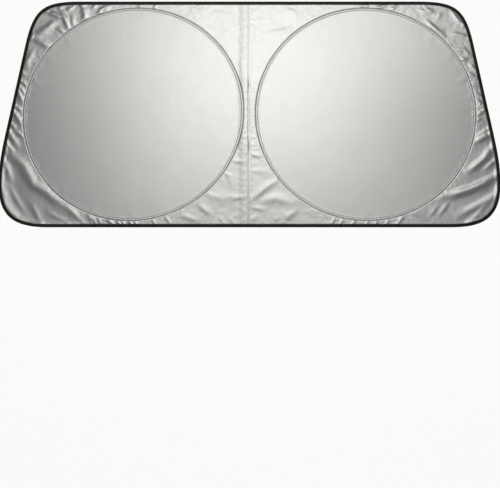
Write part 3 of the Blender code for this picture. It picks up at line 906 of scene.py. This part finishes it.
def silver_cloth():
    """Polyester with a brushed silver coating: a satin metal with fine yarns and faint creases."""
    material, tree, shader = new_material("silver_cloth", SILVER_COLOR, SILVER_ROUGHNESS, SILVER_METALLIC)
    cloudy = add_noise(tree, SILVER_CLOUD_SIZE, detail=3.0)
    creased = add_noise(tree, SILVER_CREASE_SIZE, detail=4.0, stretch=SILVER_CREASE_STRETCH)
    add_mottle(tree, shader, "Base Color", *SILVER_COLOR_ENDS, cloudy)
    add_mottle(tree, shader, "Roughness", *SILVER_ROUGHNESS_ENDS, creased)
    add_bumps(tree, shader, [(creased, *SILVER_CREASE_BUMP), (add_gathers(tree), *GATHER_BUMP),
                             (add_weave(tree, SILVER_YARN), *SILVER_YARN_BUMP)])
    return material


def charcoal_cloth():
    """Plain dark polyester weave with a soft sheen."""
    material, tree, shader = new_material("charcoal_cloth", CHARCOAL_COLOR, CHARCOAL_ROUGHNESS)
    shader.inputs["Sheen Weight"].default_value = CHARCOAL_SHEEN
    shader.inputs["Sheen Roughness"].default_value = CHARCOAL_SHEEN_ROUGHNESS
    cloudy = add_noise(tree, CHARCOAL_CLOUD_SIZE, detail=3.0)
    creased = add_noise(tree, CHARCOAL_CREASE_SIZE, detail=4.0, stretch=CHARCOAL_CREASE_STRETCH)
    add_mottle(tree, shader, "Base Color", *CHARCOAL_COLOR_ENDS, cloudy)
    add_mottle(tree, shader, "Roughness", *CHARCOAL_ROUGHNESS_ENDS, creased)
    add_bumps(tree, shader, [(creased, *CHARCOAL_CREASE_BUMP), (add_gathers(tree), *GATHER_BUMP),
                             (add_weave(tree, CHARCOAL_YARN), *CHARCOAL_YARN_BUMP)])
    return material


def binding_tape():
    """Black ribbed tape: fine ribs across it, which follow it by its own map."""
    material, tree, shader = new_material("binding_tape", TAPE_COLOR, TAPE_ROUGHNESS)
    shader.inputs["Sheen Weight"].default_value = TAPE_SHEEN
    shader.inputs["Specular IOR Level"].default_value = TAPE_SPECULAR
    place = add_node(tree, "ShaderNodeUVMap", {"uv_map": "tape"})
    mapping = add_node(tree, "ShaderNodeMapping", links={"Vector": place.outputs["UV"]},
                       Scale=TAPE_MAP_SCALE)
    ribs = add_node(tree, "ShaderNodeTexWave", {"bands_direction": "X"},
                    {"Vector": mapping.outputs["Vector"]},
                    Scale=TAPE_RIB_SCALE, Distortion=TAPE_RIB_DISTORTION, Detail=1.0).outputs["Fac"]
    fuzz = add_noise(tree, TAPE_FUZZ_SIZE, detail=3.0)
    add_mottle(tree, shader, "Base Color", *TAPE_COLOR_ENDS, fuzz)
    add_mottle(tree, shader, "Roughness", *TAPE_ROUGHNESS_ENDS, fuzz)
    add_bumps(tree, shader, [(ribs, *TAPE_RIB_BUMP), (fuzz, *TAPE_FUZZ_BUMP)])
    return material


def sewing_thread(name, dark, light, metallic=0.0):
    """Twisted polyester thread between two shades of its colour."""
    material, tree, shader = new_material(name, light, THREAD_ROUGHNESS, metallic)
    twist = add_noise(tree, THREAD_TWIST_SIZE, detail=1.0)
    add_mottle(tree, shader, "Base Color", dark, light, twist)
    add_bumps(tree, shader, [(twist, *THREAD_TWIST_BUMP)])
    return material


def spring_steel():
    """Drawn steel wire with faint draw marks and spots of oil."""
    material, tree, shader = new_material("spring_steel", STEEL_COLOR, STEEL_ROUGHNESS, metallic=1.0)
    marks = add_noise(tree, STEEL_MARK_SIZE, detail=3.0)
    add_mottle(tree, shader, "Base Color", *STEEL_COLOR_ENDS, marks)
    add_mottle(tree, shader, "Roughness", *STEEL_ROUGHNESS_ENDS, marks)
    add_bumps(tree, shader, [(marks, *STEEL_MARK_BUMP)])
    return material


def finish_piece(name, mesh, material):
    """Turns a bmesh into a smooth piece of the object with its material and slot."""
    data = bpy.data.meshes.new(name)
    mesh.to_mesh(data)
    mesh.free()
    data.shade_smooth()
    data.materials.append(material)
    piece = bpy.data.objects.new(name, data)
    bpy.context.scene.collection.objects.link(piece)
    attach(piece, "root")
    return piece


def full_outline():
    """The whole outer edge, clockwise from mid top."""
    left = [Vector((-point.x, point.y)) for point in reversed(OUTLINE[1:-1])]
    return [*OUTLINE, *left, OUTLINE[0]]


def tape_lift(points):
    """How far the folds raise the tape at each point of an array."""
    lift = np.zeros(len(points))
    for side, sign in SIDE_SIGN.items():
        plan = points * (sign, 1)
        here = plan[:, 0] >= 0
        lift[here] = crest_lift(side, plan[here])
    return lift


def seam_rise(x):
    """How far the cloth of the seam's lap lifts the tape's top leg at that place across the shade."""
    over = 1 - max(x + SEAM_EDGE_OFFSET, -(SEAM_EDGE_OFFSET + LAP_WIDTH) - x) / SEAM_SOFT
    extra_layers = LAP_ORDER["front", "left"] - FACE_ORDER["front"]
    return extra_layers * LAYER_PITCH * float(smooth_step(over))


def tape_places(section):
    """The places of the tape's section, station after station round the shade."""
    places = []
    for number, (point, inward) in enumerate(spaced(full_outline(), TAPE_SPACING)[:-1]):
        for inset, height in section:
            ripple = 0
            if inset > TAPE_RIPPLE_START:
                spot = Vector((number * TAPE_RIPPLE_PACE, inset * TAPE_RIPPLE_ACROSS, TAPE_RIPPLE_SEED))
                ripple = TAPE_RIPPLE * noise.noise(spot)
            place = point + inward * (inset + ripple)
            rise = 0
            if height > TAPE_TOP_LEG:
                rise = seam_rise(point.x) + STITCH_PUFF * float(under_tape(inset))
            places.append((place.x, place.y, MID_HEIGHT + height + rise + ripple * TAPE_RIPPLE_UP))
    places = np.array(places)
    places[:, 2] += tape_lift(places[:, :2])
    return places


def make_binding(material):
    """The tape folded over the edges of all the cloth, swept round the shade."""
    outer = list(TAPE_SECTION) + [(inset, -height) for inset, height in reversed(TAPE_SECTION[:-1])]
    section = outer + list(TAPE_LINING)
    mesh = bmesh.new()
    corners = [mesh.verts.new(place) for place in tape_places(section)]
    rings = [corners[start:start + len(section)] for start in range(0, len(corners), len(section))]
    tape_map = mesh.loops.layers.uv.new("tape")
    for number, ring in enumerate(rings):
        after = rings[(number + 1) % len(rings)]
        for index, corner in enumerate(ring):
            following = (index + 1) % len(section)
            face = mesh.faces.new((corner, after[index], after[following], ring[following]))
            steps = ((number, index), (number + 1, index), (number + 1, index + 1), (number, index + 1))
            for loop, (along, across) in zip(face.loops, steps):
                loop[tape_map].uv = (along * TAPE_SPACING, across * TAPE_MAP_STEP)
    bmesh.ops.recalc_face_normals(mesh, faces=mesh.faces)
    piece = finish_piece("binding_tape", mesh, material)
    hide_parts("edge_binding")
    return piece


def surface_tree(pieces):
    """The surfaces of pieces with their thickness, for setting stitches on them."""
    graph = bpy.context.evaluated_depsgraph_get()
    mesh = bmesh.new()
    for piece in pieces:
        evaluated = piece.evaluated_get(graph).to_mesh()
        mesh.from_mesh(evaluated)
        piece.evaluated_get(graph).to_mesh_clear()
    tree = BVHTree.FromBMesh(mesh)
    mesh.free()
    return tree


def make_stitches(name, rows, tree, up, material):
    """Rows of sewn stitches laid on the surfaces in a tree, from above or from below."""
    mesh = bmesh.new()
    start_height = Vector((0, 0, up * RAY_START))
    for row in rows:
        stations = [point for point, _ in spaced(row, STITCH_PITCH)]
        for here, after in zip(stations, stations[1:]):
            along = (after - here).normalized()
            ends = []
            for place in (here, here + along * STITCH_LENGTH):
                hit = tree.ray_cast(place.to_3d() + start_height, Vector((0, 0, -up)))[0]
                if hit is not None:
                    ends.append(hit)
            if len(ends) < 2:
                continue
            middle = (ends[0] + ends[1]) / 2
            direction = (ends[1] - ends[0]).normalized()
            turn = direction.to_track_quat("X", "Z").to_matrix().to_4x4()
            size = Matrix.Diagonal((STITCH_LENGTH / 2, THREAD_RADIUS, THREAD_RADIUS, 1))
            raised = Vector((0, 0, up * THREAD_RADIUS * STITCH_RAISED_SHARE))
            place = Matrix.Translation(middle + raised)
            bmesh.ops.create_icosphere(mesh, subdivisions=1, radius=1, matrix=place @ turn @ size)
    return finish_piece(name, mesh, material)


def hoop_row(side, offset):
    """A row of stitching that follows the hoop at an offset from its line."""
    row = []
    for step in range(HOOP_ROW_STEPS + 1):
        point = hoop_point(side, math.tau * step / HOOP_ROW_STEPS, offset)
        row.append(Vector((SIDE_SIGN[side] * point.x, point.y)))
    return row


def seam_row(x):
    """A straight row of stitching down the lap, from tape to tape."""
    reach = HALF_HEIGHT - BINDING_WIDTH
    return [Vector((x, reach)), Vector((x, -reach))]


def tape_row():
    """The row that sews the tape on, all round near its inner edge."""
    return [point + inward * TAPE_STITCH_INSET for point, inward in spaced(full_outline(), TAPE_ROW_SPACING)]


def add_lamp(name, x, y, watts):
    light = bpy.data.lights.new(name, "AREA")
    light.energy = watts
    light.size = LAMP_SIZE
    lamp = bpy.data.objects.new(name, light)
    lamp.location = (x, y, LAMP_HEIGHT)
    lamp.visible_camera = False
    bpy.context.scene.collection.objects.link(lamp)


def pale_floor():
    """A pale finish that the camera and reflections see nearly as white, and that keeps the shadow."""
    material, tree, shader = new_material("pale_floor", FLOOR_COLOR, FLOOR_ROUGHNESS)
    glow = add_node(tree, "ShaderNodeEmission", Color=WHITE, Strength=1.0)
    path = add_node(tree, "ShaderNodeLightPath")
    rays = add_node(tree, "ShaderNodeMath", {"operation": "ADD", "use_clamp": True},
                    {0: path.outputs["Is Camera Ray"], 1: path.outputs["Is Glossy Ray"]})
    rays = add_node(tree, "ShaderNodeMath", {"operation": "ADD", "use_clamp": True},
                    {0: rays.outputs[0], 1: path.outputs["Is Transmission Ray"]})
    share = add_node(tree, "ShaderNodeMath", {"operation": "MULTIPLY"}, {0: rays.outputs[0]})
    share.inputs[1].default_value = BACKDROP_SHARE
    mix = add_node(tree, "ShaderNodeMixShader", links={
        0: share.outputs[0], 1: shader.outputs["BSDF"], 2: glow.outputs["Emission"]})
    tree.links.new(mix.outputs["Shader"], tree.nodes["Material Output"].inputs["Surface"])
    return material


def make_floor():
    mesh = bmesh.new()
    bmesh.ops.create_grid(mesh, x_segments=1, y_segments=1, size=FLOOR_SIZE)
    data = bpy.data.meshes.new("floor")
    mesh.to_mesh(data)
    mesh.free()
    data.materials.append(pale_floor())
    floor = bpy.data.objects.new("floor", data)
    floor.location.z = FLOOR_HEIGHT
    bpy.context.scene.collection.objects.link(floor)


def make_light():
    """A dim white world, and soft panels side by side above the shade."""
    world = bpy.data.worlds.new("studio")
    world.use_nodes = True
    bpy.context.scene.world = world
    background = world.node_tree.nodes["Background"]
    background.inputs["Color"].default_value = WHITE
    background.inputs["Strength"].default_value = WORLD_STRENGTH
    for lamp in LAMPS:
        add_lamp(*lamp)


def make_camera():
    """A camera that looks straight down and keeps the photograph's frame."""
    camera_data = bpy.data.cameras.new("camera")
    camera_data.sensor_width = SENSOR_MM
    camera_data.lens = SENSOR_MM * CAMERA_HEIGHT / VIEW_WIDTH
    camera = bpy.data.objects.new("camera", camera_data)
    camera.location = (*VIEW_CENTRE, CAMERA_HEIGHT)
    bpy.context.scene.collection.objects.link(camera)
    bpy.context.scene.camera = camera


def make_shade():
    cloth = {"front": silver_cloth(), "back": charcoal_cloth()}
    tape = binding_tape()
    thread = {"front": sewing_thread("silver_thread", *SILVER_THREAD_ENDS, SILVER_THREAD_METALLIC),
              "back": sewing_thread("charcoal_thread", *CHARCOAL_THREAD_ENDS)}
    tape_thread = sewing_thread("tape_thread", *TAPE_THREAD_ENDS)
    steel = spring_steel()
    for name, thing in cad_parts.items():
        if name.startswith("hoop"):
            thing.data.materials.clear()
            thing.data.materials.append(steel)
            thing.data.shade_smooth()
    binding = make_binding(tape)
    sheets = {"front": {}, "back": {}}
    for side in ("left", "right"):
        half = half_sheet(side)
        for face in ("front", "back"):
            sheets[face][side] = make_sheet(side, face, half, cloth[face])
    for face, up in (("front", 1), ("back", -1)):
        tree = surface_tree(sheets[face].values())
        for side in ("left", "right"):
            rows = [hoop_row(side, offset) for offset in (-CASING_HALF_WIDTH, CASING_HALF_WIDTH)]
            stitches = make_stitches(f"{face}_casing_stitches_{side}", rows, tree, up, thread[face])
        rows = [seam_row(-SEAM_EDGE_OFFSET - SEAM_STITCH_INSET),
                seam_row(-SEAM_EDGE_OFFSET - LAP_WIDTH + SEAM_STITCH_INSET)]
        make_stitches(f"{face}_seam_stitches", rows, tree, up, thread[face])
        make_stitches(f"{face}_tape_stitches", [tape_row()], surface_tree([binding]), up, tape_thread)


make_shade()
make_floor()
make_light()
make_camera()
bpy.context.scene.view_settings.view_transform = "Standard"
